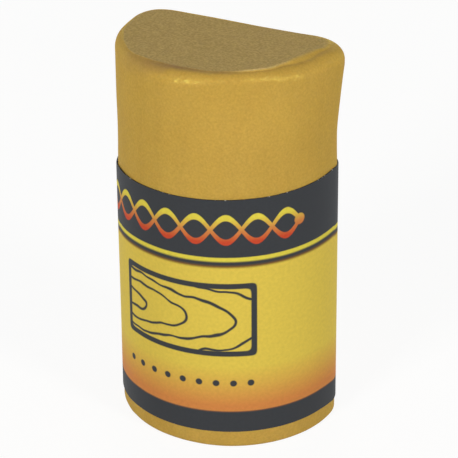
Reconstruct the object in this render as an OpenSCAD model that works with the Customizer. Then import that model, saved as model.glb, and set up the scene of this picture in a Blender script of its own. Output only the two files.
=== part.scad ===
// Half-round furniture repair wax stick with a printed paper label lapped round it.
// Millimetres. The axis of the round front stands on the origin, the base lies on Z = 0,
// the round front faces -Y and the flat back faces +Y.

/* [Wax stick] */
// Overall height of the casting
stick_h = 58; // [44:0.5:90]
// Radius of the round front
arc_r = 16; // [12:0.5:24]
// Plan radius of the two back corners, which puts the flat back this far behind the axis
corner_r = 5.4; // [4.2:0.1:7]
// Radius of the eased edge round the base
base_edge_r = 0.6; // [0.3:0.1:1.5]

/* [Top of the casting] */
// Radius of the rounded shoulder
shoulder_r = 2.7; // [2:0.1:4]
// How far in from the wall the shoulder stops at the crease
crease_inset = 1.6; // [1:0.1:1.9]
// Radius of the crease groove between the shoulder and the top face
crease_r = 0.25; // [0.1:0.05:0.4]
// Width of the lip inside the crease
lip_w = 0.6; // [0.45:0.05:1.2]
// Width of the slope from the lip down to the sunken face
sink_slope_w = 1.5; // [0.5:0.1:3]
// Depth to which the top face sank as the wax set
sink_depth = 0.3; // [0.1:0.05:0.8]

/* [Label] */
// Thickness of the printed paper
label_t = 0.15; // [0.1:0.01:0.3]
// Slack between the wax and the paper
label_slack = 0.2; // [0.05:0.05:0.4]
// Height of the label
label_h = 37; // [20:0.5:50]
// Height of the label's lower edge above the base
label_z = 2.75; // [1:0.25:4]

/* [Lap seam on the flat back] */
// Length over which the outer end covers the inner end
lap_w = 9; // [4:0.5:16]
// Run over which the outer end rises onto the inner end
lap_rise_w = 1.2; // [0.6:0.1:2]
// Thickness of the adhesive film in the lap
film_t = 0.05; // [0.03:0.01:0.1]
// Margin of bare paper round the adhesive film
film_margin = 0.8; // [0.3:0.1:1.5]

/* [Hidden] */
$fn = 96;
// The centres of the back corners lie on the line of the axis, this far out to each side
corner_x = arc_r - corner_r;
// Height at which the wall turns into the shoulder
shoulder_z = stick_h - sqrt(pow(shoulder_r, 2) - pow(shoulder_r - crease_inset, 2));
// Where the lip ends and the slope of the sunken face begins, in from the wall
lip_inset = crease_inset + lip_w;
// Faces of the paper on the flat back: inner layer, then outer layer over the adhesive film
inner_layer_y = corner_r + label_slack;
film_y = inner_layer_y + label_t;
outer_layer_y = film_y + film_t;
// The inner end of the paper starts here, so that the lap is centred on the flat
lap_x = -lap_w / 2;

// Sweeps a profile half a turn about the axis of the round front; $wall is the distance
// from the sweep's axis out to the wall of the wax
module sweep_front() {
    $wall = arc_r;
    rotate(180)
        rotate_extrude(angle = 180)
            children();
}

// Sweeps a profile a quarter turn about each back corner
module sweep_corners() {
    $wall = corner_r;
    for (side = [0, 1])
        mirror([side, 0, 0])
            translate([corner_x, 0, 0])
                rotate_extrude(angle = 90)
                    children();
}

// Draws a profile straight along the flat back, between the corners
module sweep_back() {
    $wall = corner_r;
    rotate([90, 0, 90])
        linear_extrude(2 * corner_x, center = true)
            children();
}

// Section of the wax from the sweep's axis out to the wall: eased base edge, upright wall,
// rounded shoulder, crease, lip and sunken top face
module wax_section() {
    difference() {
        intersection() {
            square([$wall, stick_h]);
            union() {
                square([$wall - base_edge_r, shoulder_z]);
                translate([$wall - base_edge_r, base_edge_r])
                    circle(base_edge_r);
                translate([0, base_edge_r])
                    square([$wall, shoulder_z - base_edge_r]);
                translate([$wall - shoulder_r, shoulder_z])
                    circle(shoulder_r);
                square([$wall - shoulder_r, stick_h]);
            }
        }
        translate([$wall - crease_inset, stick_h])
            circle(crease_r);
        sunken_face_section();
    }
}

// Wax missing over the top face: a floor with a slope up to the lip
module sunken_face_section() {
    floor_z = stick_h - sink_depth;
    slope_foot_x = $wall - lip_inset - sink_slope_w;
    clear_x = -lip_inset - sink_slope_w;
    polygon([
        [clear_x, floor_z],
        [slope_foot_x, floor_z],
        [$wall - lip_inset, stick_h],
        [$wall - lip_inset, stick_h + sink_depth],
        [clear_x, stick_h + sink_depth]
    ]);
}

// Section of the paper where it stands round the wax in one layer
module paper_section() {
    translate([$wall + label_slack, label_z])
        square([label_t, label_h]);
}

// The cast stick of soft wax
module wax_stick() {
    color([0.76, 0.61, 0.28]) {
        sweep_front() wax_section();
        sweep_corners() wax_section();
        sweep_back() wax_section();
    }
}

// The printed paper label: one strip that runs round the stick and over its own inner end
module label() {
    color([0.85, 0.74, 0.30]) {
        sweep_front() paper_section();
        sweep_corners() paper_section();
        translate([0, 0, label_z])
            linear_extrude(label_h) {
                inner_end();
                outer_end();
            }
    }
}

// Plan of the inner end, from the lap to the +X corner
module inner_end() {
    translate([lap_x, inner_layer_y])
        square([corner_x - lap_x, label_t]);
}

// Plan of the outer end, from the -X corner up and over the inner end
module outer_end() {
    foot_x = lap_x - lap_rise_w;
    end_x = lap_x + lap_w;
    polygon([
        [-corner_x, inner_layer_y],
        [foot_x, inner_layer_y],
        [lap_x, outer_layer_y],
        [end_x, outer_layer_y],
        [end_x, outer_layer_y + label_t],
        [lap_x, outer_layer_y + label_t],
        [foot_x, inner_layer_y + label_t],
        [-corner_x, inner_layer_y + label_t]
    ]);
}

// The adhesive film that holds the two ends of the paper together
module lap_adhesive() {
    color([0.90, 0.87, 0.76])
        translate([lap_x + film_margin, film_y, label_z + film_margin])
            cube([lap_w - 2 * film_margin, film_t, label_h - 2 * film_margin]);
}

wax_stick();
label();
lap_adhesive();
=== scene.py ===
"""Dressed model of a half-round stick of furniture repair wax in its lapped paper label.

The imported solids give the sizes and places. The casting and the label are modelled again with
the soft irregularities of poured wax and wrapped paper, and the adhesive film keeps its solid.
Everything is in metres in the frame of the solids: Z up, the round front towards -Y.
"""

import logging
import math
from collections.abc import Callable, Mapping, Sequence
from dataclasses import astuple, dataclass, field
from enum import Enum

import bmesh
import bpy
from bpy.types import Material, Node, NodeSocket, NodeTree, Object
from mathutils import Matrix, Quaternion, Vector, kdtree


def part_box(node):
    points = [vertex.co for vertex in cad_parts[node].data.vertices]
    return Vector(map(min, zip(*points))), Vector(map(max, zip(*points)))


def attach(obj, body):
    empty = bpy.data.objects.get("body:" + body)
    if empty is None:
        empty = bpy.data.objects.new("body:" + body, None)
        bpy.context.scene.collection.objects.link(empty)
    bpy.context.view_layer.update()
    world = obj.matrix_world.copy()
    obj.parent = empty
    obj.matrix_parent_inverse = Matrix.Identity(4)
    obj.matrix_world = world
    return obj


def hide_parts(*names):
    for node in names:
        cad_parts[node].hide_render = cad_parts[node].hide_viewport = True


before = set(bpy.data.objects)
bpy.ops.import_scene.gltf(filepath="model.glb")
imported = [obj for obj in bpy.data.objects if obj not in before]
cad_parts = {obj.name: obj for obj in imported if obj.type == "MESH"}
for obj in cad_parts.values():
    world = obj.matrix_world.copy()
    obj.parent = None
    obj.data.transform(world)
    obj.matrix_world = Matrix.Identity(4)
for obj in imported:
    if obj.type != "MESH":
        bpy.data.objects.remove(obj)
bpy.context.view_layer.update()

LOG = logging.getLogger("repair_wax_stick")
MM = 0.001
BODY = "root"
MERGE_REACH = 0.002 * MM
SMOOTH_ANGLE = math.radians(40)
FRAME_PX = 458

Colour = tuple[float, float, float, float]
Pair = tuple[float, float]
Source = Node | NodeSocket

WHITE: Colour = (1.0, 1.0, 1.0, 1.0)
# The values of a noise node seldom leave these levels
NOISE: Pair = (0.3, 0.7)
# Names of the inputs that give the two ends of a range
FROM, TO = ("From Min", "From Max"), ("To Min", "To Max")


class Slot(Enum):
    """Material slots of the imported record."""

    WAX = "wax"
    PAPER = "printed_paper"
    ADHESIVE = "adhesive"


class Side(Enum):
    """Sides of the stick, as seen from its round front."""

    LEFT = -1
    RIGHT = 1


class Ray(Enum):
    """Rays that see the white surroundings instead of the studio's own light."""

    CAMERA = "Is Camera Ray"
    GLOSSY = "Is Glossy Ray"
    TRANSMISSION = "Is Transmission Ray"


def linear(hex_colour: str) -> Colour:
    """Turns an sRGB hex value into linear light.

    Args:
        hex_colour: a hash sign and six hex digits.

    Returns:
        Linear red, green and blue, with an alpha of 1.
    """
    channels = [int(hex_colour[i:i + 2], 16) / 255 for i in (1, 3, 5)]
    red, green, blue = (
        c / 12.92 if c <= 0.04045 else ((c + 0.055) / 1.055) ** 2.4 for c in channels
    )
    return red, green, blue, 1.0


def ease(value: float, low: float, high: float) -> float:
    """Rises smoothly from 0 at low to 1 at high.

    Args:
        value: the number to place between the two ends.
        low: end at which the result is 0.
        high: end at which the result is 1; it may be below low.

    Returns:
        A share from 0 to 1.
    """
    share = min(1.0, max(0.0, (value - low) / (high - low)))
    return share * share * (3 - 2 * share)


def along(points: Sequence[Pair], value: float) -> float:
    """Reads a line drawn straight from point to point.

    Args:
        points: pairs of place and level, in rising order of place.
        value: the place to read.

    Returns:
        The level there; beyond the ends, the end's own level.
    """
    if value <= points[0][0]:
        return points[0][1]
    for (low, start), (high, end) in zip(points, points[1:]):
        if value <= high:
            return start + (end - start) * (value - low) / (high - low)
    return points[-1][1]


def add_node(
    tree: NodeTree,
    kind: str,
    inputs: Mapping[int | str | tuple[str, str], object] | None = None,
    stops: Sequence[tuple[float, Colour]] = (),
    **settings: object,
) -> Node:
    """Adds a shader node with its settings and links.

    Args:
        tree: the node tree that gets the node.
        kind: Blender's name for the kind of node, without the leading ShaderNode.
        inputs: for each input, by name or number, a constant, a socket, or a node whose
            first live output is linked; two names together take a pair.
        stops: places and colours along the ramp of a node that has one.
        **settings: properties of the node.

    Returns:
        The new node.
    """
    node = tree.nodes.new("ShaderNode" + kind)
    for name, value in settings.items():
        setattr(node, name, value)
    if stops:
        ramp = node.color_ramp.elements
        ramp[0].position, ramp[1].position = stops[0][0], stops[-1][0]
        for place, _ in stops[1:-1]:
            ramp.new(place)
        for element, (place, colour) in zip(ramp, stops):
            element.position, element.color = place, colour
    single: list[tuple[int | str, object]] = []
    for key, value in (inputs or {}).items():
        single += zip(key, value) if isinstance(key, tuple) else [(key, value)]
    for key, value in single:
        socket = node.inputs[key] if isinstance(key, int) else next(
            s for s in node.inputs if s.enabled and s.name == key
        )
        if isinstance(value, Node):
            value = next(s for s in value.outputs if s.enabled)
        if isinstance(value, NodeSocket):
            tree.links.new(value, socket)
        else:
            socket.default_value = value
    return node


def blank_material(name: str) -> tuple[Material, NodeTree]:
    """Starts a node material with nothing in it.

    Args:
        name: what the material is.

    Returns:
        The material and its empty node tree.
    """
    material = bpy.data.materials.new(name)
    material.use_nodes = True
    material.node_tree.nodes.clear()
    return material, material.node_tree


@dataclass(frozen=True)
class PouredWax:
    """Soft filler wax with a little pearl pigment, poured and left to set in its mould.

    The mould wall leaves a warm satin skin with faint clouding from uneven cooling. Flakes of
    pigment that lie flat in the skin give it a slight sheen and, where a light glances off the
    shoulder, a yellow gleam that the skin's small dents break into sparkle. The open face sets
    slowly in air, which leaves it duller and a little grained; its paler, greyer colour is partly
    that and partly a painted sheen of the white surroundings. Painted shade darkens the crease
    round it and the foot. Roughness goes from the clear skin to the clouded.
    """

    skin: str = "#BF9946"
    skin_deep: str = "#BD9644"
    skin_pale: str = "#C19B49"
    # Open face colours: the wax set in air, made paler and greyer partly as a painted sheen of the
    # white surroundings
    open_face: str = "#C3A76A"
    open_face_sheen_grey: str = "#B99E62"
    # Painted shade: the brown-grey that the crease attribute lays over the skin in the crease and
    # at the foot
    crease: str = "#826250"
    cloud_mm: float = 9.0
    streak_mm: float = 2.2
    streak_squeeze: float = 0.12
    streak_share: float = 0.35
    grain_mm: float = 0.32
    ripple_mm: float = 1.6
    tone_in: Pair = (0.375, 0.975)
    tone_out: Pair = (0.88, 1.12)
    grain_relief: float = 0.5
    relief_mm: float = 0.06
    roughness: Pair = (0.57, 0.69)
    open_roughness: float = 0.2
    ior: float = 1.44
    sheen: float = 0.12
    scatter_mm: float = 0.9
    gleam: float = 0.056
    gleam_tint: str = "#CCC864"
    gleam_roughness: float = 0.28
    dent_mm: float = 0.6
    dent_depth_mm: float = 0.17

    def make(self) -> Material:
        """Makes the wax material.

        Returns:
            A material that reads Object coordinates and the open_face and crease attributes.
        """
        material, tree = blank_material("poured_filler_wax")
        place = add_node(tree, "TexCoord").outputs["Object"]
        open_face, crease = (
            add_node(tree, "Attribute", attribute_name=name).outputs["Fac"]
            for name in ("open_face", "crease")
        )
        # Clouding: patches as wide as the cooling front leaves them, pale over deep
        cloud = add_node(tree, "TexNoise", {
            "Vector": place, "Scale": 1 / (self.cloud_mm * MM), "Detail": 3.0, "Roughness": 0.55,
        })
        # Streaks: upright, because the wax runs down the mould wall as it fills.
        # Ripple: the mould wall's own unevenness. Grain and dents: the pigment's specks and the
        # pits of the skin, both drawn coarser than real so that they show.
        upright = add_node(tree, "Mapping", {
            "Vector": place, "Scale": (1, 1, self.streak_squeeze),
        })
        streak, ripple, grain, dents = (
            add_node(tree, "TexNoise", {
                "Vector": where, "Scale": 1 / (size * MM), "Detail": 2.0,
            })
            for where, size in (
                (upright, self.streak_mm), (place, self.ripple_mm),
                (place, self.grain_mm), (place, self.dent_mm),
            )
        )
        colour = add_node(tree, "ValToRGB", {"Fac": cloud}, stops=[
            (0.30, linear(self.skin_deep)), (0.50, linear(self.skin)),
            (0.72, linear(self.skin_pale)),
        ])
        # Open face: grained, and paler and greyer than the skin partly as a painted sheen
        face = add_node(tree, "ValToRGB", {"Fac": grain}, stops=[
            (0.36, linear(self.open_face_sheen_grey)), (0.64, linear(self.open_face)),
        ])
        # The crease attribute lays painted shade over the skin in the crease and at the foot
        for share, over in ((open_face, face), (crease, linear(self.crease))):
            colour = add_node(tree, "Mix", {"Factor": share, "A": colour, "B": over},
                              data_type="RGBA")
        tone = add_node(tree, "Math", {0: streak, 1: self.streak_share, 2: grain},
                        operation="MULTIPLY_ADD")
        tone = add_node(tree, "MapRange", {"Value": tone, FROM: self.tone_in, TO: self.tone_out})
        colour = add_node(tree, "VectorMath", {0: colour, 1: tone}, operation="MULTIPLY")
        gloss = add_node(tree, "MapRange", {"Value": cloud, FROM: NOISE, TO: self.roughness})
        gloss = add_node(tree, "Math", {0: open_face, 1: self.open_roughness, 2: gloss},
                         operation="MULTIPLY_ADD")
        relief = add_node(tree, "Math", {0: grain, 1: self.grain_relief, 2: ripple},
                          operation="MULTIPLY_ADD")
        bump = add_node(tree, "Bump", {
            "Height": relief, "Strength": 0.5, "Distance": self.relief_mm * MM,
        })
        wax = add_node(tree, "BsdfPrincipled", {
            "Base Color": colour, "Roughness": gloss, "IOR": self.ior, "Normal": bump,
            "Metallic": self.sheen, "Specular IOR Level": 0.0,
            "Subsurface Weight": 0.2, "Subsurface Radius": (1.0, 0.6, 0.2),
            "Subsurface Scale": self.scatter_mm * MM,
        })
        # Gleam: flakes of pigment that lie flat in the mould skin, with none on the open face
        facets = add_node(tree, "Bump", {
            "Height": dents, "Strength": 1.0, "Distance": self.dent_depth_mm * MM,
        })
        flakes = add_node(tree, "BsdfPrincipled", {
            "Base Color": linear(self.gleam_tint), "Metallic": 1.0,
            "Roughness": self.gleam_roughness, "Normal": facets,
        })
        share = add_node(tree, "Math", {0: open_face, 1: -self.gleam, 2: self.gleam},
                         operation="MULTIPLY_ADD")
        shader = add_node(tree, "MixShader", {0: share, 1: wax, 2: flakes})
        add_node(tree, "OutputMaterial", {"Surface": shader})
        return material


@dataclass(frozen=True)
class FlatStrip:
    """The label laid flat, where its print is drawn.

    Flat is a place on it, run the length along it from the middle of the front, and rise the
    height up it, all in millimetres.
    """

    tree: NodeTree
    flat: Node
    run: NodeSocket
    rise: NodeSocket


@dataclass(frozen=True)
class LabelInk:
    """Coated label paper, printed by offset in black, yellow and orange.

    The coat gives a soft even sheen. The solids hold a faint press mottle, the yellow field
    warms to orange above the lower band, and bare paper shows where the cut edge is scuffed.
    Heights are in millimetres up the strip and lengths in millimetres along it. Roughness and
    mottle tone go from thin ink to full.
    """

    strip_h: float
    black: str = "#37393C"
    bleed: str = "#7A5426"
    field_yellow: str = "#DABF4D"
    rule_yellow: str = "#DCCB48"
    orange: str = "#CC8243"
    flame: str = "#C4472A"
    bare_paper: str = "#D9D6CC"
    band_edge: float = 0.12
    lower_band: float = 3.3
    full_orange: float = 1.0
    blush_top: float = 10.6
    bleed_w: float = 0.3
    dark_rule: Pair = (26.68, 27.53)
    light_rule_top: float = 28.18
    ink_fade: float = 0.07
    braid_mid: float = 32.4
    braid_wave: float = 8.75
    braid_swing: float = 1.9
    braid_stroke: float = 0.95
    braid_half: float = 17.5
    bead_r: float = 0.85
    board_mid: float = 18.2
    board_half: Pair = (10.5, 5.4)
    board_corner: float = 1.2
    board_rim: float = 0.42
    grain_pitch: float = 1.55
    grain_stretch: float = 4.6
    grain_line: float = 0.2
    heart_beyond: float = 3.0
    wander_mm: float = 4.5455
    wander_swing: float = 1.1
    dot_row: float = 8.0
    dot_pitch: float = 2.5
    dot_r: float = 0.5
    scuff_reach: Pair = (0.25, 0.02)
    fleck_mm: float = 0.625
    fleck_levels: Pair = (0.6, 0.7)
    mottle_mm: float = 0.5
    mottle_tone: Pair = (0.95, 1.05)
    relief_mm: float = 0.02
    roughness: Pair = (0.56, 0.65)

    def make(self) -> Material:
        """Makes the printed face of the label.

        Returns:
            A material that reads the strip UV map, in metres along and up the strip.
        """
        material, tree = blank_material("offset_printed_label_paper")
        flat = add_node(tree, "UVMap", uv_map="strip")
        flat = add_node(tree, "VectorMath", {0: flat, 3: 1 / MM}, operation="SCALE")
        axes = add_node(tree, "SeparateXYZ", {"Vector": flat}).outputs
        strip = FlatStrip(tree, flat, axes["X"], axes["Y"])
        colour = self.bands(strip)
        prints = (
            (self.braid(strip), self.heat(strip)),
            (self.board(strip), linear(self.black)),
            (self.dots(strip), linear(self.black)),
        )
        for cover, ink in prints:
            colour = add_node(tree, "Mix", {"Factor": cover, "A": colour, "B": ink},
                              data_type="RGBA")
        # Press mottle: ink lies unevenly on the coat, drawn coarser than real so that it shows
        mottle = add_node(tree, "TexNoise", {
            "Vector": flat, "Scale": 1 / self.mottle_mm, "Detail": 2.0,
        })
        tone, gloss = (
            add_node(tree, "MapRange", {"Value": mottle, FROM: NOISE, TO: thin_to_full})
            for thin_to_full in (self.mottle_tone, self.roughness)
        )
        colour = add_node(tree, "VectorMath", {0: colour, 1: tone}, operation="MULTIPLY")
        colour = add_node(tree, "Mix", {
            "Factor": self.scuffs(strip), "A": colour, "B": linear(self.bare_paper),
        }, data_type="RGBA")
        bump = add_node(tree, "Bump", {
            "Height": mottle, "Strength": 0.12, "Distance": self.relief_mm * MM,
        })
        shader = add_node(tree, "BsdfPrincipled", {
            "Base Color": colour, "Roughness": gloss, "IOR": 1.47, "Normal": bump,
            "Specular IOR Level": 0.15,
        })
        add_node(tree, "OutputMaterial", {"Surface": shader})
        return material

    def bands(self, strip: FlatStrip) -> Node:
        """Lays the level bands: lower band, field with its orange blush, two rules, top band.

        Args:
            strip: the label laid flat.

        Returns:
            The node that holds the colour of the bands.
        """
        black, yellow, orange, rule = (
            linear(ink) for ink in (self.black, self.field_yellow, self.orange, self.rule_yellow)
        )
        low, high = self.dark_rule
        levels = [
            (0.0, black), (self.lower_band, black), (self.lower_band + self.band_edge, orange),
            (self.lower_band + self.full_orange, orange), (self.blush_top, yellow),
            (low - self.bleed_w, yellow), (low, linear(self.bleed)), (low + self.bleed_w, black),
            (high - self.band_edge, black), (high, rule),
            (self.light_rule_top - self.band_edge, rule), (self.light_rule_top, black),
            (self.strip_h, black),
        ]
        share = add_node(strip.tree, "Math", {0: strip.rise, 1: self.strip_h},
                         operation="DIVIDE")
        return add_node(strip.tree, "ValToRGB", {"Fac": share},
                        stops=[(level / self.strip_h, colour) for level, colour in levels])

    def cover(self, tree: NodeTree, *strokes: tuple[Source, float]) -> Node:
        """Inks what lies in every one of some strokes.

        Args:
            tree: node tree of the print.
            *strokes: for each, the distance from its line and half its width.

        Returns:
            A node that holds 1 in the ink and 0 outside.
        """
        ink: Node | float = 1.0
        for distance, half in strokes:
            stroke = add_node(tree, "MapRange", {
                "Value": distance, FROM: (half + self.ink_fade, half - self.ink_fade),
            })
            ink = add_node(tree, "Math", {0: ink, 1: stroke}, operation="MULTIPLY")
        return ink

    def distance(self, tree: NodeTree, across: Source, up: Source) -> NodeSocket:
        """Measures the straight line that a step across and a step up make.

        Args:
            tree: node tree of the print.
            across: length of the step across.
            up: length of the step up.

        Returns:
            The socket that holds the length of the line.
        """
        step = add_node(tree, "CombineXYZ", {"X": across, "Y": up})
        return add_node(tree, "VectorMath", {0: step}, operation="LENGTH").outputs["Value"]

    def braid(self, strip: FlatStrip) -> Node:
        """Draws a two-strand braid along the top band, with a bead at each end.

        Args:
            strip: the label laid flat.

        Returns:
            A node that holds 1 in the braid and 0 outside.
        """
        tree, run = strip.tree, strip.run
        height = add_node(tree, "Math", {0: strip.rise, 1: self.braid_mid}, operation="SUBTRACT")
        phase = add_node(tree, "Math", {0: run, 1: 2 * math.pi / self.braid_wave},
                         operation="MULTIPLY")
        swing = add_node(tree, "Math", {0: phase}, operation="SINE")
        swing = add_node(tree, "Math", {0: swing, 1: self.braid_swing}, operation="MULTIPLY")
        level, strand, reach = (
            add_node(tree, "Math", {0: value}, operation="ABSOLUTE")
            for value in (height, swing, run)
        )
        gap = add_node(tree, "Math", {0: level, 1: strand}, operation="SUBTRACT")
        gap = add_node(tree, "Math", {0: gap}, operation="ABSOLUTE")
        strands = self.cover(tree, (gap, self.braid_stroke / 2), (reach, self.braid_half))
        beyond = add_node(tree, "Math", {0: reach, 1: self.braid_half}, operation="SUBTRACT")
        bead = self.cover(tree, (self.distance(tree, beyond, height), self.bead_r))
        return add_node(tree, "Math", {0: strands, 1: bead}, operation="MAXIMUM")

    def heat(self, strip: FlatStrip) -> Node:
        """Shades the braid's ink from flame red at its foot to yellow at its crest.

        Args:
            strip: the label laid flat.

        Returns:
            The node that holds the colour of the ink.
        """
        low, high = self.braid_mid - self.braid_swing, self.braid_mid + self.braid_swing
        share = add_node(strip.tree, "MapRange", {"Value": strip.rise, FROM: (low, high)})
        return add_node(strip.tree, "ValToRGB", {"Fac": share}, stops=[
            (0.0, linear(self.flame)), (0.45, linear(self.orange)),
            (0.95, linear(self.rule_yellow)),
        ])

    def board(self, strip: FlatStrip) -> Node:
        """Draws a small board with arched grain in the yellow field.

        Args:
            strip: the label laid flat.

        Returns:
            A node that holds 1 in the lines of the board and 0 outside.
        """
        tree, (half_w, half_h) = strip.tree, self.board_half
        height = add_node(tree, "Math", {0: strip.rise, 1: self.board_mid}, operation="SUBTRACT")
        # Wander: the rings of a tree are never quite round
        wander = add_node(tree, "TexNoise", {
            "Vector": strip.flat, "Scale": 1 / self.wander_mm, "Detail": 1.0,
        })
        wander = add_node(tree, "MapRange", {
            "Value": wander, TO: (-self.wander_swing, self.wander_swing),
        })
        across = add_node(tree, "Math", {0: height, 1: wander}, operation="ADD")
        lengthwise = add_node(tree, "Math", {0: strip.run, 1: half_w + self.heart_beyond},
                              operation="ADD")
        lengthwise, slope = (
            add_node(tree, "Math", {0: lengthwise, 1: stretch}, operation="DIVIDE")
            for stretch in (self.grain_stretch, self.grain_stretch ** 2)
        )
        ring = self.distance(tree, lengthwise, across)
        line = add_node(tree, "Math", {0: ring, 1: self.grain_pitch / 2}, operation="PINGPONG")
        # The rings are stretched along the board, so the distance is set right across the line
        scale = add_node(tree, "Math", {0: ring, 1: self.distance(tree, slope, across)},
                         operation="DIVIDE")
        line = add_node(tree, "Math", {0: line, 1: scale}, operation="MULTIPLY")
        past_end, past_side = (
            add_node(tree, "Math", {
                0: add_node(tree, "Math", {0: value}, operation="ABSOLUTE"), 1: half,
            }, operation="SUBTRACT")
            for value, half in ((strip.run, half_w), (height, half_h))
        )
        outside = add_node(tree, "Math", {0: past_end, 1: past_side, 2: self.board_corner},
                           operation="SMOOTH_MAX")
        grain = self.cover(tree, (line, self.grain_line), (outside, 0.0))
        rim = add_node(tree, "Math", {0: outside}, operation="ABSOLUTE")
        rim = self.cover(tree, (rim, self.board_rim))
        return add_node(tree, "Math", {0: grain, 1: rim}, operation="MAXIMUM")

    def dots(self, strip: FlatStrip) -> Node:
        """Draws a row of dots below the board.

        Args:
            strip: the label laid flat.

        Returns:
            A node that holds 1 in the dots and 0 outside.
        """
        tree = strip.tree
        height = add_node(tree, "Math", {0: strip.rise, 1: self.dot_row}, operation="SUBTRACT")
        beside = add_node(tree, "Math", {0: strip.run, 1: self.dot_pitch / 2},
                          operation="PINGPONG")
        reach = add_node(tree, "Math", {0: strip.run}, operation="ABSOLUTE")
        spot = self.distance(tree, beside, height)
        return self.cover(tree, (spot, self.dot_r), (reach, self.board_half[0] + self.dot_r))

    def scuffs(self, strip: FlatStrip) -> Node:
        """Finds the flecks along the cut edges where bare paper comes through.

        Args:
            strip: the label laid flat.

        Returns:
            A node that holds 1 in the flecks and 0 outside.
        """
        tree, middle = strip.tree, self.strip_h / 2
        off = add_node(tree, "Math", {0: strip.rise, 1: middle}, operation="SUBTRACT")
        off = add_node(tree, "Math", {0: off}, operation="ABSOLUTE")
        rim = add_node(tree, "MapRange", {
            "Value": off, FROM: [middle - reach for reach in self.scuff_reach],
        })
        fleck = add_node(tree, "TexNoise", {
            "Vector": strip.flat, "Scale": 1 / self.fleck_mm, "Detail": 3.0,
        })
        fleck = add_node(tree, "Math", {0: fleck, 1: rim}, operation="MULTIPLY")
        return add_node(tree, "MapRange", {"Value": fleck, FROM: self.fleck_levels})


@dataclass(frozen=True)
class BarePaper:
    """Uncoated back and cut edge of the label paper: pale, fibrous and dead matt."""

    pale: str = "#CFCBC0"
    dark: str = "#B4AFA2"
    fibre_mm: float = 0.4
    relief_mm: float = 0.02

    def make(self) -> Material:
        """Makes the bare paper.

        Returns:
            A material that reads Object coordinates.
        """
        material, tree = blank_material("uncoated_paper_stock")
        place = add_node(tree, "TexCoord").outputs["Object"]
        # Fibres: felted at random, drawn coarser than real so that they show
        fibre = add_node(tree, "TexNoise", {
            "Vector": place, "Scale": 1 / (self.fibre_mm * MM), "Detail": 4.0,
        })
        colour = add_node(tree, "ValToRGB", {"Fac": fibre}, stops=[
            (0.35, linear(self.dark)), (0.65, linear(self.pale)),
        ])
        bump = add_node(tree, "Bump", {
            "Height": fibre, "Strength": 0.3, "Distance": self.relief_mm * MM,
        })
        shader = add_node(tree, "BsdfPrincipled", {
            "Base Color": colour, "Roughness": 0.85, "IOR": 1.47, "Normal": bump,
        })
        add_node(tree, "OutputMaterial", {"Surface": shader})
        return material


@dataclass(frozen=True)
class DriedAdhesive:
    """Water-based label adhesive, rolled on and dried: amber-white, cloudy and slightly glossy."""

    clear: str = "#E6DFC8"
    cloudy: str = "#D6CCAE"
    cloud_mm: float = 1.5
    roughness: Pair = (0.28, 0.4)

    def make(self) -> Material:
        """Makes the adhesive.

        Returns:
            A material that reads Object coordinates.
        """
        material, tree = blank_material("dried_label_adhesive")
        place = add_node(tree, "TexCoord").outputs["Object"]
        # Clouding: the roller's uneven lay, as wide as its ribs
        cloud = add_node(tree, "TexNoise", {
            "Vector": place, "Scale": 1 / (self.cloud_mm * MM), "Detail": 3.0,
        })
        colour = add_node(tree, "ValToRGB", {"Fac": cloud}, stops=[
            (0.35, linear(self.cloudy)), (0.65, linear(self.clear)),
        ])
        gloss = add_node(tree, "MapRange", {"Value": cloud, FROM: NOISE, TO: self.roughness})
        shader = add_node(tree, "BsdfPrincipled", {
            "Base Color": colour, "Roughness": gloss, "IOR": 1.48,
        })
        add_node(tree, "OutputMaterial", {"Surface": shader})
        return material


def begin_at(name: str, start: Vector) -> Object:
    """Starts a piece in edit mode as one vertex, merged from a small plane.

    Args:
        name: name of the piece.
        start: place of the vertex.

    Returns:
        The new object, at the origin and in edit mode with the vertex selected.
    """
    bpy.ops.object.select_all(action="DESELECT")
    bpy.ops.mesh.primitive_plane_add(size=MM, location=start)
    piece = bpy.context.object
    piece.name = piece.data.name = name
    bpy.ops.object.transform_apply(location=True, rotation=True, scale=True)
    bpy.ops.object.mode_set(mode="EDIT")
    bpy.ops.mesh.select_mode(type="VERT")
    bpy.ops.mesh.select_all(action="SELECT")
    bpy.ops.mesh.merge(type="CENTER")
    return piece


def draw_through(points: Sequence[Vector]) -> None:
    """Extrudes what is selected step by step along a path.

    Args:
        points: the path; what is selected stands at its first point.
    """
    for here, there in zip(points, points[1:]):
        bpy.ops.mesh.extrude_region_move(TRANSFORM_OT_translate={"value": there - here})


def select_where(test: Callable[[Vector], bool]) -> None:
    """Selects, in edit mode, the vertices at places that pass a test, and the edges between.

    Args:
        test: says of a place whether it is selected.
    """
    bpy.ops.mesh.select_all(action="DESELECT")
    data = bpy.context.edit_object.data
    mesh = bmesh.from_edit_mesh(data)
    for vert in mesh.verts:
        vert.select_set(test(vert.co))
    mesh.select_flush(True)
    bmesh.update_edit_mesh(data)


def merge_doubles() -> None:
    """Merges, in edit mode, all vertices that lie on each other."""
    bpy.ops.mesh.select_all(action="SELECT")
    bpy.ops.mesh.remove_doubles(threshold=MERGE_REACH)


def apply_modifier(piece: Object, kind: str, **settings: object) -> None:
    """Adds a modifier with its settings and applies it.

    Args:
        piece: the active object.
        kind: Blender's name for the kind of modifier.
        **settings: properties of the modifier.
    """
    modifier = piece.modifiers.new(kind.lower(), kind)
    for name, value in settings.items():
        setattr(modifier, name, value)
    bpy.ops.object.modifier_apply(modifier=modifier.name)


def roughen(piece: Object, lump: float, height: float, group: str) -> None:
    """Displaces a piece by soft lumps where a vertex group lets it.

    Args:
        piece: the active object.
        lump: size of a lump.
        height: full height between hollow and crest.
        group: vertex group that weights the displacement.
    """
    lumps = bpy.data.textures.new("lumps", "CLOUDS")
    lumps.noise_scale, lumps.noise_depth = lump, 1
    apply_modifier(piece, "DISPLACE", texture=lumps, texture_coords="LOCAL", strength=height,
                   mid_level=0.5, vertex_group=group)
    bpy.data.textures.remove(lumps)


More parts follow.
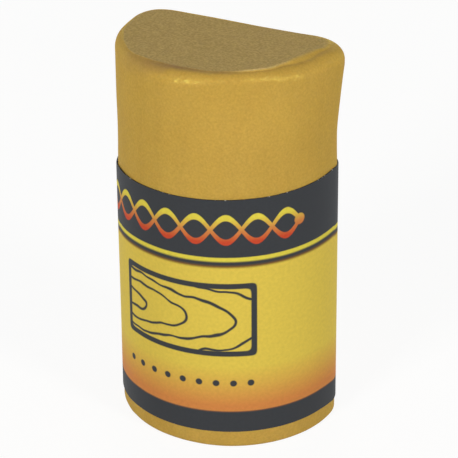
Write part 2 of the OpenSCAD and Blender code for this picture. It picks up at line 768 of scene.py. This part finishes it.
@dataclass(frozen=True)
class HalfRound:
    """Plan of the stick: a half circle in front, two quarter circles behind and a flat back.

    The front is struck about the Z axis. The corners are struck about points on the X axis, so
    the flat back stands one corner radius behind it.
    """

    front_r: float
    corner_r: float
    cell: float = 0.5 * MM

    @property
    def corner_x(self) -> float:
        """Distance of each corner's centre from the middle."""
        return self.front_r - self.corner_r

    def steps(self, length: float) -> int:
        """Number of mesh cells in a length."""
        return max(2, round(length / self.cell))

    def run_left(self, length: float) -> None:
        """Sweeps what is selected straight along the back, towards the left end."""
        cells = self.steps(length)
        draw_through([Vector((-length * i / cells, 0, 0)) for i in range(cells + 1)])

    def wrap(self) -> None:
        """Sweeps what is selected from the back's left end, round the front, to its right end."""
        quarter, x = math.pi / 2, self.corner_x
        for centre, angle, radius in (
            (Vector((-x, 0, 0)), quarter, self.corner_r),
            (Vector((0, 0, 0)), 2 * quarter, self.front_r),
            (Vector((x, 0, 0)), quarter, self.corner_r),
        ):
            bpy.ops.mesh.spin(steps=self.steps(radius * angle), angle=-angle, center=centre,
                              axis=(0, 0, 1))

    def length_at(self, x: float, y: float, outset: float) -> float:
        """Measures how far a place lies along the outline from the middle of the front.

        Args:
            x: place across the stick.
            y: place from front to back.
            outset: distance of the measured line outside the wax.

        Returns:
            Length along the outline, negative towards -X.
        """
        side = 1 if x >= 0 else -1
        front, corner = self.front_r + outset, self.corner_r + outset
        if y <= 0:
            return front * math.atan2(x, -y)
        beyond = abs(x) - self.corner_x
        if beyond >= 0:
            return side * (front * math.pi / 2 + corner * math.atan2(y, beyond))
        return side * ((front + corner) * math.pi / 2 - beyond)


@dataclass(frozen=True)
class Rim:
    """Shape of the casting's skin at one bearing round the stick.

    Bearing is in degrees from the front, positive to the right. Crease is the distance from the
    wall in to the crease, turn the fall of the shoulder from the crease to the wall, drop the
    depth of the crease under the full height, lip the rise of the open face towards its edge,
    flank the width of the lip's fall into the crease, lean the distance by which the wall leans
    in at the top, and heel the radius of the base edge. Shade is how dark the painted shade in
    the crease is, from 0 to 1, and spread how far that painted shade fades out down the shoulder.
    All lengths are in millimetres.
    """

    bearing: float
    crease: float
    turn: float
    drop: float
    lip: float
    flank: float
    shade: float = 0.0
    spread: float = 0.5
    lean: float = 0.0
    heel: float = 0.6

    def towards(self, other: "Rim", bearing: float) -> "Rim":
        """Blends this shape into the next one, as far as a bearing between the two."""
        share = ease(bearing, self.bearing, other.bearing)
        return Rim(*(a + (b - a) * share for a, b in zip(astuple(self), astuple(other))))


@dataclass(frozen=True)
class Pull:
    """A drag on one back corner from when the stick left its mould.

    Angle is in degrees about the corner's centre, from the side towards the back, and spread is
    how far the drag reaches to each side of it. Reach is its length, negative for a push in, and
    it grows from low to high up the stick. All lengths are in millimetres.
    """

    side: Side
    angle: float
    spread: float
    reach: float
    low: float
    high: float


@dataclass
class WaxCasting:
    """The stick of soft wax, as it came out of its mould.

    The wall turns over a rounded shoulder to a crease, and inside the crease lies the open face,
    which sank a little as the wax set. The crease lies at the foot of a flat soft shoulder at the
    left and under a low lip at the right, and it runs out towards the back. One back corner was
    pulled out, the wall above the label was drawn in, and the top set at a slight tilt. Painted
    shade darkens the crease and the foot. The skin is smooth at the foot and under the label, and
    lumpy above it.
    """

    plan: HalfRound
    height: float
    sink: float = 0.3 * MM
    foot: float = 4.3 * MM
    face_cells: int = 6
    lip_cells: int = 5
    shoulder_cells: int = 20
    wall_cells: int = 78
    heel_cells: int = 6
    face_centre_y: float = -4.6 * MM
    face_rings: int = 14
    plain: Rim = Rim(0, 1.6, 2.7, 0.0, 0.0, 0.5)
    # The shade and spread columns darken the crease and the shoulder below it with painted shade
    rims: tuple[Rim, ...] = (
        Rim(-180, 1.5, 2.7, 0.29, 0.0, 0.3),
        Rim(-115, 1.4, 2.7, 0.29, 0.0, 0.3),
        Rim(-85, 1.2, 2.5, 0.4, 0.0, 0.3),
        Rim(-64, 1.0, 2.2, 0.36, 0.0, 0.3, 0.1, 2.5),
        Rim(-48, 0.8, 1.9, 0.38, 0.0, 0.3, 0.16, 3.0, 0.0, 0.8),
        Rim(-41, 0.7, 2.0, 0.45, 0.0, 0.3, 0.27, 3.0, 0.0, 0.8),
        Rim(-36, 0.75, 2.2, 0.5, 0.0, 0.28, 0.38, 3.2, 0.0, 0.9),
        Rim(-32, 1.0, 2.4, 0.48, 0.0, 0.25, 0.43, 3.4, 0.0, 0.9),
        Rim(-28, 1.2, 2.5, 0.46, 0.0, 0.25, 0.42, 3.2, 0.0, 0.9),
        Rim(-23, 1.4, 2.5, 0.43, 0.0, 0.25, 0.5, 3.0, 0.0, 0.9),
        Rim(-19, 1.6, 2.5, 0.4, 0.0, 0.25, 0.56, 2.6, 0.05, 0.9),
        Rim(-14, 1.75, 2.5, 0.37, 0.0, 0.22, 0.64, 2.2, 0.1, 0.9),
        Rim(-6, 1.8, 2.3, 0.36, 0.0, 0.2, 0.8, 1.1, 0.25, 0.9),
        Rim(3, 1.65, 2.0, 0.35, 0.0, 0.25, 0.64, 0.9, 0.45, 0.85),
        Rim(14, 1.2, 1.7, 0.36, 0.0, 0.25, 0.48, 0.6, 0.65, 0.7),
        Rim(24, 1.05, 1.6, 0.37, 0.02, 0.25, 0.45, 0.5, 0.9),
        Rim(36, 0.95, 1.6, 0.42, 0.2, 0.2, 0.18, 0.5, 1.05),
        Rim(48, 1.0, 1.7, 0.45, 0.2, 0.24, 0.18, 0.5, 1.0),
        Rim(58, 1.6, 2.0, 0.48, 0.24, 0.36, 0.2, 0.5, 0.75),
        Rim(68, 1.65, 2.1, 0.6, 0.32, 0.8, 0.22, 0.5, 0.4),
        Rim(77, 1.6, 2.0, 0.58, 0.28, 0.9, 0.22, 0.5, 0.2),
        Rim(85, 1.8, 1.9, 0.44, 0.22, 0.7, 0.3, 0.8, 0.1),
        Rim(92, 1.6, 2.0, 0.38, 0.05, 0.6, 0.25, 1.2),
        Rim(105, 1.2, 2.3, 0.36, 0.0, 0.4),
        Rim(115, 1.3, 2.5, 0.4, 0.0, 0.3),
        Rim(180, 1.5, 2.7, 0.29, 0.0, 0.3),
    )
    inner_fade: float = 0.35
    face_start: float = 0.6
    sharp_flank: float = 0.3
    grading: float = 1.2
    # Painted shade: the foot is darkened, fading out by the height below
    painted_foot_shade: float = 0.07
    painted_foot_shade_top: float = 4 * MM
    lean_low: float = 46 * MM
    tilt: float = 0.2 * MM
    tilt_low: float = 45 * MM
    tilt_below_top: float = 2 * MM
    pulls: tuple[Pull, ...] = (
        Pull(Side.RIGHT, 25, 75, 0.86, 44.8, 55),
        Pull(Side.RIGHT, 46, 34, 0.1, 50, 57),
        Pull(Side.LEFT, -8, 45, -0.15, 48, 57),
        Pull(Side.LEFT, 50, 30, 0.15, 50, 57),
    )
    pull_growth: float = 1.4
    waist: float = 0.08 * MM
    waist_z: float = 44 * MM
    waist_reach: float = 6 * MM
    waist_depth: float = 2 * MM
    lumps: tuple[Pair, ...] = ((11 * MM, 0.08 * MM), (3.5 * MM, 0.03 * MM))
    smooth_foot: Pair = (0.8 * MM, 3 * MM)
    label_edge: Pair = (41 * MM, 38 * MM)
    label_hold: float = 0.8
    piece: Object | None = field(default=None, init=False)

    def rim_at(self, bearing: float) -> Rim:
        """Finds the shape of the skin.

        Args:
            bearing: degrees from the front.

        Returns:
            The shape at that bearing.
        """
        for here, there in zip(self.rims, self.rims[1:]):
            if bearing <= there.bearing:
                return here.towards(there, bearing)
        return self.rims[-1]

    def section(self, rim: Rim) -> list[Vector]:
        """Draws the skin's section from the open face over the shoulder to the base.

        Args:
            rim: shape of the skin where it is cut.

        Returns:
            Points as (0, distance outside the wall, height), where inside is negative; they are
            the same in number for every shape.
        """
        crease, turn, lip, flank = (n * MM for n in (rim.crease, rim.turn, rim.lip, rim.flank))
        lean, heel = rim.lean * MM, rim.heel * MM
        face_z, crest_z = self.height - self.sink, self.height - rim.drop * MM
        edge = crease + flank
        points: list[Pair] = []
        for i in range(self.face_cells + 1):
            share = i / self.face_cells
            inset = self.foot + (edge + lean - self.foot) * share
            points.append((inset, face_z + lip * ease(share, 0, 1)))
        for i in range(1, self.lip_cells):
            share = i / self.lip_cells
            fall = (face_z + lip - crest_z) * ease(share, 0, 1)
            points.append((lean + edge - flank * share, face_z + lip - fall))
        # The shoulder is part of a circle, or of a flat ellipse where it is wider than it falls
        across = max(crease, turn)
        start = math.asin(1 - crease / across)
        for i in range(self.shoulder_cells + 1):
            angle = start + (math.pi / 2 - start) * i / self.shoulder_cells
            fall = turn * (math.cos(start) - math.cos(angle))
            points.append((lean + across * (1 - math.sin(angle)), crest_z - fall))
        top = points[-1][1]
        for i in range(1, self.wall_cells + 1):
            z = top + (heel - top) * i / self.wall_cells
            points.append((lean * ease(z, self.lean_low, top), z))
        for i in range(1, self.heel_cells + 1):
            angle = math.pi / 2 * i / self.heel_cells
            points.append((heel * (1 - math.cos(angle)), heel * (1 - math.sin(angle))))
        points.append((self.foot, 0.0))
        return [Vector((0, -inset, z)) for inset, z in points]

    def build(self) -> None:
        """Models the casting: plain section, sweep, open face, base, then its true shape."""
        start = Vector((-self.plan.corner_x, self.plan.corner_r, 0))
        path = [start + point for point in self.section(self.plain)]
        self.piece = begin_at("wax_casting", path[0])
        draw_through(path)
        bpy.ops.mesh.select_all(action="SELECT")
        self.plan.wrap()
        self.plan.run_left(2 * self.plan.corner_x)
        merge_doubles()
        for level in (self.height - self.sink, 0.0):
            self.close_face(level)
        bpy.ops.mesh.select_all(action="SELECT")
        bpy.ops.mesh.normals_make_consistent(inside=False)
        bpy.ops.object.mode_set(mode="OBJECT")
        self.mould_skin()
        self.shape_irregularly()
        bpy.ops.object.shade_smooth_by_angle(angle=SMOOTH_ANGLE)

    def close_face(self, level: float) -> None:
        """Fills an open end of the swept skin with rings that shrink to its middle.

        Args:
            level: height of the open end's rim.
        """
        select_where(lambda p: abs(p.z - level) < MERGE_REACH
                     and self.inset_of(p)[0] > self.foot - MERGE_REACH)
        centre = (0, self.face_centre_y, level)
        for ring in range(self.face_rings):
            left = self.face_rings + 1 - ring
            shrink = (left - 1) / left
            bpy.ops.mesh.extrude_region_move()
            bpy.ops.transform.resize(value=(shrink, shrink, 1), center_override=centre)
        bpy.ops.mesh.edge_face_add()

    def mould_skin(self) -> None:
        """Moves the plain skin to its shape at each bearing, and marks open face and painted
        shade.
        """
        plain = self.section(self.plain)
        finder = kdtree.KDTree(len(plain))
        for index, point in enumerate(plain):
            finder.insert(point, index)
        finder.balance()
        mesh = self.piece.data
        open_face = [0.0] * len(mesh.vertices)
        # Share of painted shade at each vertex, kept in the crease attribute
        crease = [0.0] * len(mesh.vertices)
        shapes: dict[float, tuple[list[Vector], list[Pair]]] = {}
        for vert in mesh.vertices:
            inset, outward = self.inset_of(vert.co)
            if inset > self.foot + MERGE_REACH:
                open_face[vert.index] = 1.0 if vert.co.z > self.height / 2 else 0.0
                continue
            bearing = round(math.degrees(math.atan2(vert.co.x, -vert.co.y)), 3)
            if bearing not in shapes:
                rim = self.rim_at(bearing)
                section = self.section(rim)
                shapes[bearing] = section, self.marks(rim, section)
            section, marks = shapes[bearing]
            _, index, _ = finder.find(Vector((0, -inset, vert.co.z)))
            open_face[vert.index], crease[vert.index] = marks[index]
            shift = section[index] - plain[index]
            vert.co += outward * shift.y + Vector((0, 0, shift.z))
        for name, values in (("open_face", open_face), ("crease", crease)):
            mesh.attributes.new(name, "FLOAT", "POINT").data.foreach_set("value", values)

    def marks(self, rim: Rim, section: Sequence[Vector]) -> list[Pair]:
        """Finds how far the skin is open face, and how much painted shade darkens it, along a
        section.

        Args:
            rim: shape of the skin where it is cut.
            section: points of the section.

        Returns:
            For each point the share of open face, and the share of painted shade in the crease or
            at the foot, from 0 to 1.
        """
        valley = self.face_cells + self.lip_cells
        graded = rim.flank + self.grading * max(0.0, rim.flank - self.sharp_flank)
        shares = []
        for index, point in enumerate(section):
            away = (point - section[valley]).length / MM
            inside = index < valley
            open_face = ease(away, self.face_start * rim.flank, graded) if inside else 0.0
            # Painted shade: darkest at the crease, fading in towards the face and down the
            # shoulder
            brown = rim.shade * ease(away, self.inner_fade if inside else rim.spread, 0)
            # Painted shade at the foot, fading out upwards
            painted_foot_shade = self.painted_foot_shade * ease(point.z, self.painted_foot_shade_top, self.painted_foot_shade_top / 2)
            shares.append((open_face, max(brown, painted_foot_shade)))
        return shares

    def inset_of(self, place: Vector) -> tuple[float, Vector]:
        """Measures how far inside the wall a place lies, seen from above.

        Args:
            place: the place.

        Returns:
            Distance in from the wall, and the level direction out to it.
        """
        if place.y <= 0:
            axis, radius = Vector((0, 0, place.z)), self.plan.front_r
        else:
            reach = min(self.plan.corner_x, abs(place.x))
            axis = Vector((math.copysign(reach, place.x), 0, place.z))
            radius = self.plan.corner_r
        out = place - axis
        return radius - out.length, out.normalized()

    def shape_irregularly(self) -> None:
        """Gives the casting its pulled corners, waist and tilt, and the soft lumps of set wax."""
        lumpy = self.piece.vertex_groups.new(name="lumpy")
        for vert in self.piece.data.vertices:
            z = vert.co.z
            inset, outward = self.inset_of(vert.co)
            draw = self.waist * ease(abs(z - self.waist_z), self.waist_reach, 0)
            move = outward * -draw * ease(inset, self.waist_depth, 0)
            for pull in self.pulls:
                across = vert.co.x * pull.side.value - self.plan.corner_x
                heading = math.degrees(math.atan2(vert.co.y, across))
                climb = along(((pull.low, 0.0), (pull.high, 1.0)), z / MM) ** self.pull_growth
                share = ease(abs(heading - pull.angle), pull.spread, 0) * climb
                share *= min(1.0, math.hypot(across, vert.co.y) / self.plan.corner_r)
                turn = math.radians(pull.angle)
                way = Vector((math.cos(turn) * pull.side.value, math.sin(turn), 0))
                move += way * pull.reach * MM * share
            rise = self.tilt * ease(z, self.tilt_low, self.height - self.tilt_below_top)
            vert.co += move + Vector((0, 0, -rise * vert.co.y / self.plan.front_r))
            loose = ease(z, *self.smooth_foot) * (1 - self.label_hold * ease(z, *self.label_edge))
            lumpy.add([vert.index], loose, "REPLACE")
        for lump, height in self.lumps:
            roughen(self.piece, lump, height, lumpy.name)
        self.piece.vertex_groups.clear()

    def dress(self, finish: PouredWax) -> None:
        """Gives the casting its finish and its place in the frame.

        Args:
            finish: the wax.
        """
        self.piece.data.materials.append(finish.make())
        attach(self.piece, BODY)
        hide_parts("wax_stick")


@dataclass
class WrapLabel:
    """The printed paper strip, wrapped round the stick with its outer end lapped on the back.

    The paper hugs the wax round the front and lifts off it at the upper left; both are given by
    a bearing in degrees and how far they reach from it. Trim and foot trim say how far the upper
    and the lower edge are off level, in millimetres, at lengths along the strip in millimetres.
    """

    plan: HalfRound
    low_z: float
    high_z: float
    back_y: float
    thick: float = 0.15 * MM
    slack: float = 0.2 * MM
    film: float = 0.05 * MM
    lap_w: float = 9 * MM
    lap_rise_w: float = 1.2 * MM
    lap_cells: int = 4
    row: float = 0.8 * MM
    hug: float = 0.17 * MM
    hug_bearing: float = 5.0
    hug_reach: Pair = (135.0, 100.0)
    lift: float = 0.13 * MM
    lift_bearing: float = -52.0
    lift_reach: float = 30.0
    lift_low: float = 0.25
    trim: tuple[Pair, ...] = (
        (-45, 0.0), (-33, -1.4), (-22, -2.0), (-17.5, -1.6), (-14, -0.75), (-8, -0.5),
        (-4.8, -0.34), (6.5, -0.1), (13.5, 0.05), (21, 0.28), (25, 0.45), (28, 0.0), (45, 0.0),
    )
    foot_trim: tuple[Pair, ...] = (
        (-45, 0.0), (-30, -0.4), (-18, -0.4), (-12.7, -0.2), (-8.5, 0.0), (22, 0.0),
        (24.6, -0.2), (26, -0.38), (30, -0.38), (38, 0.0),
    )
    piece: Object | None = field(default=None, init=False)

    @property
    def outset(self) -> float:
        """Distance of the paper's middle outside the wax."""
        return self.slack + self.thick / 2

    def build(self) -> None:
        """Models the strip: upright edge, lap, sweep round the outline, inner end, thickness."""
        outer_y = self.back_y - self.thick / 2
        fall = self.plan.corner_r + self.outset - outer_y
        half_lap = self.lap_w / 2
        tall = self.high_z - self.low_z
        rows = round(tall / self.row)
        start = Vector((half_lap, outer_y, self.low_z))
        self.piece = begin_at("wrap_label", start)
        draw_through([start + Vector((0, 0, tall * i / rows)) for i in range(rows + 1)])
        bpy.ops.mesh.select_all(action="SELECT")
        self.plan.run_left(self.lap_w)
        draw_through([
            Vector((-self.lap_rise_w * i / self.lap_cells, fall * ease(i, 0, self.lap_cells), 0))
            for i in range(self.lap_cells + 1)
        ])
        self.plan.run_left(self.plan.corner_x - half_lap - self.lap_rise_w)
        self.plan.wrap()
        self.plan.run_left(self.plan.corner_x + half_lap)
        merge_doubles()
        bpy.ops.object.mode_set(mode="OBJECT")
        self.lay_out_print()
        self.settle()
        self.face_outwards()
        apply_modifier(self.piece, "SOLIDIFY", thickness=self.thick, offset=0.0,
                       use_even_offset=True, material_offset=1, material_offset_rim=1)
        bpy.ops.object.shade_smooth_by_angle(angle=SMOOTH_ANGLE)

    def lay_out_print(self) -> None:
        """Unrolls the strip into the strip UV map, in metres along and up it."""
        mesh = self.piece.data
        layer = mesh.uv_layers.new(name="strip")
        middle_y = self.back_y - self.thick - self.film / 2
        around = (self.plan.front_r + self.plan.corner_r + 2 * self.outset) * math.pi
        for loop in mesh.loops:
            place = mesh.vertices[loop.vertex_index].co
            length = self.plan.length_at(place.x, place.y, self.outset)
            # The outer end of the lap lies past the middle of the back, so its print goes on
            lapped = place.y > middle_y or place.x < -self.lap_w / 2
            if place.x > 0 and lapped and place.y > self.plan.corner_r:
                length -= around + 4 * self.plan.corner_x
            layer.data[loop.index].uv = (length, place.z - self.low_z)

    def settle(self) -> None:
        """Draws the paper close to the wax, lifts it at its upper left and trims its edges."""
        tall = self.high_z - self.low_z
        for vert in self.piece.data.vertices:
            bearing = math.degrees(math.atan2(vert.co.x, -vert.co.y))
            share = (vert.co.z - self.low_z) / tall
            close = ease(abs(bearing - self.hug_bearing), *self.hug_reach)
            left = ease(abs(bearing - self.lift_bearing), self.lift_reach, 0)
            out = -self.hug * close + self.lift * left * ease(share, self.lift_low, 1)
            side_x = math.copysign(self.plan.corner_x, vert.co.x) if vert.co.y > 0 else 0.0
            away = (vert.co - Vector((side_x, 0, vert.co.z))).normalized()
            run = self.plan.length_at(vert.co.x, vert.co.y, self.outset) / MM
            rise = along(self.trim, run) * share + along(self.foot_trim, run) * (1 - share)
            vert.co += away * out + Vector((0, 0, rise * MM))

    def face_outwards(self) -> None:
        """Turns the strip's faces away from the wax."""
        front = min(self.piece.data.polygons, key=lambda face: face.center.y)
        if front.normal.y > 0:
            bpy.ops.object.mode_set(mode="EDIT")
            bpy.ops.mesh.select_all(action="SELECT")
            bpy.ops.mesh.flip_normals()
            bpy.ops.object.mode_set(mode="OBJECT")

    def dress(self, ink: LabelInk, stock: BarePaper) -> None:
        """Gives the label its print, its bare back and edges, and its place in the frame.

        Args:
            ink: the printed face.
            stock: the bare back and edges.
        """
        for finish in (ink, stock):
            self.piece.data.materials.append(finish.make())
        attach(self.piece, BODY)
        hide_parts("label")


@dataclass
class LapFilm:
    """The adhesive film in the label's lap, which keeps its solid."""

    node: str = "lap_adhesive"

    def dress(self, finish: DriedAdhesive) -> None:
        """Gives the film its finish.

        Args:
            finish: the adhesive.
        """
        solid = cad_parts[self.node]
        solid.data.materials.clear()
        solid.data.materials.append(finish.make())


@dataclass(frozen=True)
class Softbox:
    """A square studio light aimed at the stick.

    Bearing and elevation are in degrees, seen from the stick; bearing 0 is in front of it and
    positive is to the right. Share is the brightness that the light alone gives a white card
    that faces it.
    """

    name: str
    bearing: float
    elevation: float
    distance: float
    side: float
    share: float


@dataclass
class Studio:
    """Plain pale floor, soft light and the camera at the photograph's angle.

    Aside and aim_z place the point that the camera and the lights look at: its distance from
    the axis across the view, and its height. The pale walls darken from horizon to zenith
    between two levels of wall_top, where 0 is level and 1 straight up.
    """

    aside: float = -0.3254 * MM
    aim_z: float = 27.0088 * MM
    bearing: float = 25.833
    elevation: float = 27.143
    distance: float = 0.39273
    roll: float = 0.411
    focal_px: float = 2726.93
    sensor_mm: float = 36.0
    clip: Pair = (0.01, 20.0)
    floor_side: float = 6.0
    floor_pale: str = "#CECECC"
    floor_shade: str = "#646462"
    floor_glow: float = 0.9
    horizon: float = 0.47
    zenith: float = 0.1
    wall_top: Pair = (0.1, 0.6)
    boxes: tuple[Softbox, ...] = (
        Softbox("left_softbox", -9.0, 20.0, 1.0, 0.24, 0.51),
        Softbox("right_softbox", 69.0, 20.0, 1.0, 0.19, 0.43),
        Softbox("left_fill", -94.2, 6.0, 1.0, 0.6, 0.19),
        Softbox("right_fill", 145.8, 6.0, 1.0, 0.6, 0.19),
        Softbox("back_softbox", 205.8, 10.0, 1.2, 0.8, 0.4),
    )

    @property
    def aim(self) -> Vector:
        """Place that the camera and the lights look at."""
        turn = math.radians(self.bearing)
        return Vector((self.aside * math.cos(turn), self.aside * math.sin(turn), self.aim_z))

    def direction(self, bearing: float, elevation: float) -> Vector:
        """Points from the stick to a place in the studio, given in degrees."""
        turn, tilt = math.radians(bearing), math.radians(elevation)
        return Vector((math.sin(turn) * math.cos(tilt), -math.cos(turn) * math.cos(tilt),
                       math.sin(tilt)))

    def build(self) -> None:
        """Sets up the floor, the surroundings, the lights and the camera."""
        self.lay_floor()
        self.surround()
        for box in self.boxes:
            self.hang(box)
        self.set_camera()
        bpy.context.scene.view_settings.view_transform = "Standard"

    def seen_directly(self, tree: NodeTree) -> Node:
        """Adds up the rays that see the white surroundings.

        Args:
            tree: node tree that gets the nodes.

        Returns:
            A node that holds 1 for those rays and 0 for the rest.
        """
        path, total = add_node(tree, "LightPath"), 0.0
        for ray in Ray:
            total = add_node(tree, "Math", {0: total, 1: path.outputs[ray.value]},
                             operation="ADD", use_clamp=True)
        return total

    def lay_floor(self) -> None:
        """Lays a pale floor that shows white and keeps the stick's soft shadow."""
        bpy.ops.object.select_all(action="DESELECT")
        bpy.ops.mesh.primitive_plane_add(size=self.floor_side)
        floor = bpy.context.object
        floor.name = "studio_floor"
        # Paper sweep: dead matt, lit from all sides, so it shows white with a soft shadow
        material, tree = blank_material("matt_white_paper_sweep")
        paper, shade = (
            add_node(tree, "BsdfDiffuse", {"Color": linear(tone)})
            for tone in (self.floor_pale, self.floor_shade)
        )
        glow = add_node(tree, "Emission", {"Color": WHITE, "Strength": self.floor_glow})
        white = add_node(tree, "AddShader", {0: shade, 1: glow})
        mixed = add_node(tree, "MixShader", {0: self.seen_directly(tree), 1: paper, 2: white})
        add_node(tree, "OutputMaterial", {"Surface": mixed})
        floor.data.materials.append(material)

    def surround(self) -> None:
        """Lights the studio more from its pale walls than from above, with white beyond them."""
        world = bpy.data.worlds.new("white_studio")
        world.use_nodes = True
        tree = world.node_tree
        tree.nodes.clear()
        where = add_node(tree, "TexCoord").outputs["Generated"]
        climb = add_node(tree, "SeparateXYZ", {"Vector": where}).outputs["Z"]
        level = add_node(tree, "MapRange", {
            "Value": climb, FROM: self.wall_top, TO: (self.horizon, self.zenith),
        }, interpolation_type="SMOOTHSTEP")
        walls, white = (
            add_node(tree, "Background", {"Strength": strength, "Color": WHITE})
            for strength in (level, 1.0)
        )
        mixed = add_node(tree, "MixShader", {0: self.seen_directly(tree), 1: walls, 2: white})
        add_node(tree, "OutputWorld", {"Surface": mixed})
        bpy.context.scene.world = world

    def hang(self, box: Softbox) -> None:
        """Hangs one softbox and turns it to the stick.

        Args:
            box: the light.
        """
        towards = self.direction(box.bearing, box.elevation)
        bpy.ops.object.light_add(type="AREA", location=self.aim + towards * box.distance)
        lamp = bpy.context.object
        lamp.name = lamp.data.name = box.name
        lamp.rotation_euler = towards.to_track_quat("Z", "Y").to_euler()
        lamp.data.shape, lamp.data.size = "SQUARE", box.side
        lamp.data.energy = math.pi ** 2 * box.share * box.distance ** 2

    def set_camera(self) -> None:
        """Places the camera and makes it the scene's own."""
        towards = self.direction(self.bearing, self.elevation)
        bpy.ops.object.camera_add(location=self.aim + towards * self.distance)
        camera = bpy.context.object
        camera.name = "photo_camera"
        camera.rotation_mode = "QUATERNION"
        level = (-towards).to_track_quat("-Z", "Y")
        camera.rotation_quaternion = level @ Quaternion((0, 0, 1), -math.radians(self.roll))
        camera.data.sensor_width = self.sensor_mm
        camera.data.lens = self.sensor_mm * self.focal_px / FRAME_PX
        camera.data.clip_start, camera.data.clip_end = self.clip
        bpy.context.scene.camera = camera


def main() -> None:
    """Builds the pieces and the studio in order and reports each piece."""
    logging.basicConfig(level=logging.INFO, format="%(name)s: %(message)s")
    _, wax_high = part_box("wax_stick")
    label_low, label_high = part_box("label")
    plan = HalfRound(front_r=wax_high.x, corner_r=wax_high.y)

    casting = WaxCasting(plan, height=wax_high.z)
    casting.build()
    casting.dress(PouredWax())
    LOG.info("%s: %d faces", casting.piece.name, len(casting.piece.data.polygons))

    label = WrapLabel(plan, low_z=label_low.z, high_z=label_high.z, back_y=label_high.y)
    label.build()
    label.dress(LabelInk(strip_h=(label_high.z - label_low.z) / MM), BarePaper())
    LOG.info("%s: %d faces", label.piece.name, len(label.piece.data.polygons))

    film = LapFilm()
    film.dress(DriedAdhesive())
    LOG.info("%s: keeps its solid", film.node)

    studio = Studio()
    studio.build()
    LOG.info("studio: %d lights", len(studio.boxes))


if __name__ == "__main__":
    main()
